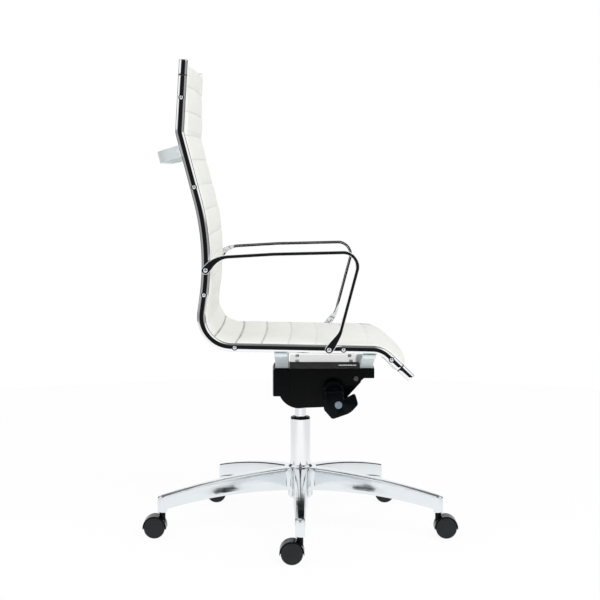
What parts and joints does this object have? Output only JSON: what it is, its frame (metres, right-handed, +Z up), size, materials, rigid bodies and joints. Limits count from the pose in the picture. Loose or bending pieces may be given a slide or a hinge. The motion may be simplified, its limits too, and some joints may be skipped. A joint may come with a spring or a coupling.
{
  "type": "swivel office chair",
  "caption": "High-back swivel chair: one ribbed sling between bent side rails, loop arms, knee-tilt mechanism, gas column, five-leg base on twin-wheel casters.",
  "frame": {"origin": "on the floor, on the axis of the gas column", "axes": "+Z up from the floor, +X where the sitter faces, +Y to the sitter's left"},
  "size_m": [0.7538, 0.6766, 1.1245],
  "materials": {
    "polished_aluminium": "polished die-cast aluminium",
    "satin_aluminium": "satin cast aluminium",
    "chrome": "bright chrome plate",
    "bright_steel": "zinc-plated and ground steel",
    "dark_steel": "glossy dark enamelled steel plate",
    "black_enamel": "black powder coat",
    "black_plastic": "black moulded nylon",
    "charcoal_plastic": "charcoal moulded wheel, fine grain",
    "grey_button": "grey moulded button",
    "black_rubber": "black rubber",
    "ivory_leather": "ivory leather over thin foam, ribbed"
  },
  "bodies": {
    "base": {"star_base": "polished_aluminium", "column_stand_tube": "chrome", "guide_bush": "black_plastic", "tube_end_plate": "bright_steel", "bearing_lower_race": "bright_steel", "bearing_balls": "bright_steel"},
    "rod": {"piston_rod": "bright_steel", "piston": "bright_steel", "rod_clip": "bright_steel", "bearing_upper_race": "bright_steel", "rod_bumper": "black_rubber"},
    "chassis": {"gas_cylinder": "chrome", "cylinder_seal": "black_rubber", "lower_casting": "black_enamel", "tilt_pivot_pin": "bright_steel", "tilt_springs": "bright_steel", "rocker_pin": "bright_steel"},
    "valve_pin": {"release_pin": "bright_steel"},
    "rocker": {"release_rocker": "bright_steel"},
    "lever": {"lever_shaft": "bright_steel", "lever_paddle": "black_plastic"},
    "button": {"lever_button": "grey_button"},
    "knob": {"tension_knob": "black_plastic"},
    "seat": {"upper_shell": "black_enamel", "pivot_bushes": "black_plastic", "rear_cover": "black_plastic", "seat_plate": "dark_steel", "rail_left": "chrome", "rail_right": "chrome", "rail_caps": "chrome", "rail_screws": "bright_steel", "sling": "ivory_leather", "arm_left": "chrome", "arm_right": "chrome", "arm_screws": "bright_steel", "rear_seat_brace": "satin_aluminium", "front_seat_brace": "satin_aluminium", "back_brace": "satin_aluminium", "brace_bolts": "bright_steel", "frame_screws": "bright_steel"},
    "caster_1": {"caster_1_housing": "black_plastic", "caster_1_pins": "bright_steel"},
    "wheel_1_left": {"caster_1_wheel_left": "charcoal_plastic"},
    "wheel_1_right": {"caster_1_wheel_right": "charcoal_plastic"},
    "caster_2": {"caster_2_housing": "black_plastic", "caster_2_pins": "bright_steel"},
    "wheel_2_left": {"caster_2_wheel_left": "charcoal_plastic"},
    "wheel_2_right": {"caster_2_wheel_right": "charcoal_plastic"},
    "caster_3": {"caster_3_housing": "black_plastic", "caster_3_pins": "bright_steel"},
    "wheel_3_left": {"caster_3_wheel_left": "charcoal_plastic"},
    "wheel_3_right": {"caster_3_wheel_right": "charcoal_plastic"},
    "caster_4": {"caster_4_housing": "black_plastic", "caster_4_pins": "bright_steel"},
    "wheel_4_left": {"caster_4_wheel_left": "charcoal_plastic"},
    "wheel_4_right": {"caster_4_wheel_right": "charcoal_plastic"},
    "caster_5": {"caster_5_housing": "black_plastic", "caster_5_pins": "bright_steel"},
    "wheel_5_left": {"caster_5_wheel_left": "charcoal_plastic"},
    "wheel_5_right": {"caster_5_wheel_right": "charcoal_plastic"}
  },
  "joints": [
    {"name": "seat_swivel", "type": "hinge", "parent": "base", "child": "rod", "pos_m": [0, 0, 0.06], "axis": [0, 0, 1], "continuous": true},
    {"name": "seat_lift", "type": "slide", "parent": "rod", "child": "chassis", "axis": [0, 0, 1], "range_m": [0, 0.1]},
    {"name": "seat_tilt", "type": "hinge", "parent": "chassis", "child": "seat", "pos_m": [0.134, 0, 0.377], "axis": [0, 1, 0], "range_deg": [-14, 0], "stiffness_Nm_per_rad": 220, "springref_deg": 14.32, "deforming": ["tilt_springs"]},
    {"name": "lever_lift", "type": "hinge", "parent": "chassis", "child": "lever", "pos_m": [0.08, 0, 0.35], "axis": [0, 1, 0], "range_deg": [-14, 0], "stiffness_Nm_per_rad": 0.8, "springref_deg": 11.46},
    {"name": "rocker_swing", "type": "hinge", "parent": "chassis", "child": "rocker", "pos_m": [0.03, 0, 0.3606], "axis": [0, 1, 0], "range_deg": [-4.4, 0]},
    {"name": "valve_press", "type": "slide", "parent": "chassis", "child": "valve_pin", "axis": [0, 0, 1], "range_m": [-0.0024, 0]},
    {"name": "button_press", "type": "slide", "parent": "lever", "child": "button", "axis": [0, 1, 0], "range_m": [0, 0.003], "stiffness_N_per_m": 400, "springref_m": -0.003},
    {"name": "tension_turn", "type": "hinge", "parent": "chassis", "child": "knob", "pos_m": [0.08, 0, 0.35], "axis": [0, 1, 0], "range_deg": [-720, 720]},
    {"name": "caster_1_swivel", "type": "hinge", "parent": "base", "child": "caster_1", "pos_m": [0, -0.3475, 0.06], "axis": [0, 0, 1], "continuous": true},
    {"name": "wheel_1_left_spin", "type": "hinge", "parent": "caster_1", "child": "wheel_1_left", "pos_m": [-0.0183, -0.3475, 0.025], "axis": [0, 1, 0], "continuous": true},
    {"name": "wheel_1_right_spin", "type": "hinge", "parent": "caster_1", "child": "wheel_1_right", "pos_m": [-0.0183, -0.3475, 0.025], "axis": [0, 1, 0], "continuous": true},
    {"name": "caster_2_swivel", "type": "hinge", "parent": "base", "child": "caster_2", "pos_m": [0.33049, -0.10738, 0.06], "axis": [0, 0, 1], "continuous": true},
    {"name": "wheel_2_left_spin", "type": "hinge", "parent": "caster_2", "child": "wheel_2_left", "pos_m": [0.34879, -0.10738, 0.025], "axis": [0, 1, 0], "continuous": true},
    {"name": "wheel_2_right_spin", "type": "hinge", "parent": "caster_2", "child": "wheel_2_right", "pos_m": [0.34879, -0.10738, 0.025], "axis": [0, 1, 0], "continuous": true},
    {"name": "caster_3_swivel", "type": "hinge", "parent": "base", "child": "caster_3", "pos_m": [0.20425, 0.28113, 0.06], "axis": [0, 0, 1], "continuous": true},
    {"name": "wheel_3_left_spin", "type": "hinge", "parent": "caster_3", "child": "wheel_3_left", "pos_m": [0.22256, 0.28113, 0.025], "axis": [0, 1, 0], "continuous": true},
    {"name": "wheel_3_right_spin", "type": "hinge", "parent": "caster_3", "child": "wheel_3_right", "pos_m": [0.22256, 0.28113, 0.025], "axis": [0, 1, 0], "continuous": true},
    {"name": "caster_4_swivel", "type": "hinge", "parent": "base", "child": "caster_4", "pos_m": [-0.20425, 0.28113, 0.06], "axis": [0, 0, 1], "continuous": true},
    {"name": "wheel_4_left_spin", "type": "hinge", "parent": "caster_4", "child": "wheel_4_left", "pos_m": [-0.22256, 0.28113, 0.025], "axis": [0, 1, 0], "continuous": true},
    {"name": "wheel_4_right_spin", "type": "hinge", "parent": "caster_4", "child": "wheel_4_right", "pos_m": [-0.22256, 0.28113, 0.025], "axis": [0, 1, 0], "continuous": true},
    {"name": "caster_5_swivel", "type": "hinge", "parent": "base", "child": "caster_5", "pos_m": [-0.33049, -0.10738, 0.06], "axis": [0, 0, 1], "continuous": true},
    {"name": "wheel_5_left_spin", "type": "hinge", "parent": "caster_5", "child": "wheel_5_left", "pos_m": [-0.34879, -0.10738, 0.025], "axis": [0, 1, 0], "continuous": true},
    {"name": "wheel_5_right_spin", "type": "hinge", "parent": "caster_5", "child": "wheel_5_right", "pos_m": [-0.34879, -0.10738, 0.025], "axis": [0, 1, 0], "continuous": true}
  ],
  "couplings": [
    {"joint": "rocker_swing", "follows": "lever_lift", "ratio": 0.29284},
    {"joint": "valve_press", "follows": "lever_lift", "m_per_rad": 0.008785}
  ]
}
